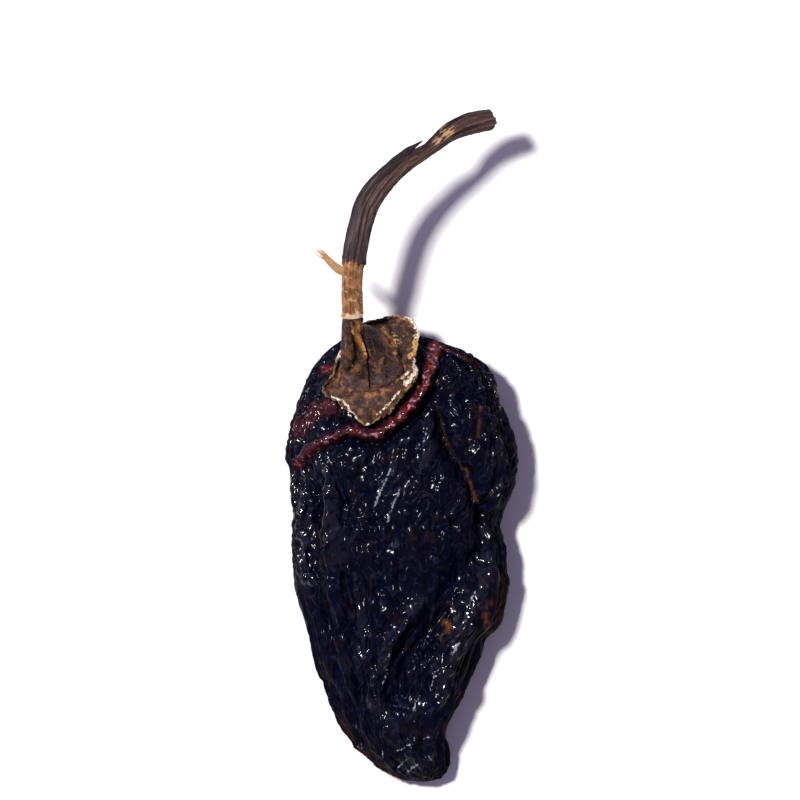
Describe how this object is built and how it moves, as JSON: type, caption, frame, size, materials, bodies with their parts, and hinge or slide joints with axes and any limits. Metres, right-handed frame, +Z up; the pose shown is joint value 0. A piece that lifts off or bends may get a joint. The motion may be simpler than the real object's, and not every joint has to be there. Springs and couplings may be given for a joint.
{
  "type": "dried chilli",
  "caption": "Whole dark dried chilli lying on its side: a flat, folded and wrinkled pod with its calyx and a long, curved, ridged stem.",
  "frame": {"origin": "middle of the chilli's box in plan, on the surface that it lies on", "axes": "+Y from the pod's tip towards the stem, +X to the side the stem curves to, +Z up"},
  "size_m": [0.054, 0.1568, 0.0338],
  "materials": {
    "pod_skin": "near-black glossy dried skin with dark red-brown fold edges",
    "calyx_skin": "dry matt brown leaf skin with grey patches, tan veins and cream edges",
    "stem_bark": "dry ridged purple-brown bark",
    "bare_wood": "dry golden fibrous wood where the bark has peeled"
  },
  "bodies": {
    "root": {"pod": "pod_skin", "calyx": "calyx_skin", "stem": "stem_bark", "bark_sliver": "bare_wood"}
  },
  "joints": []
}
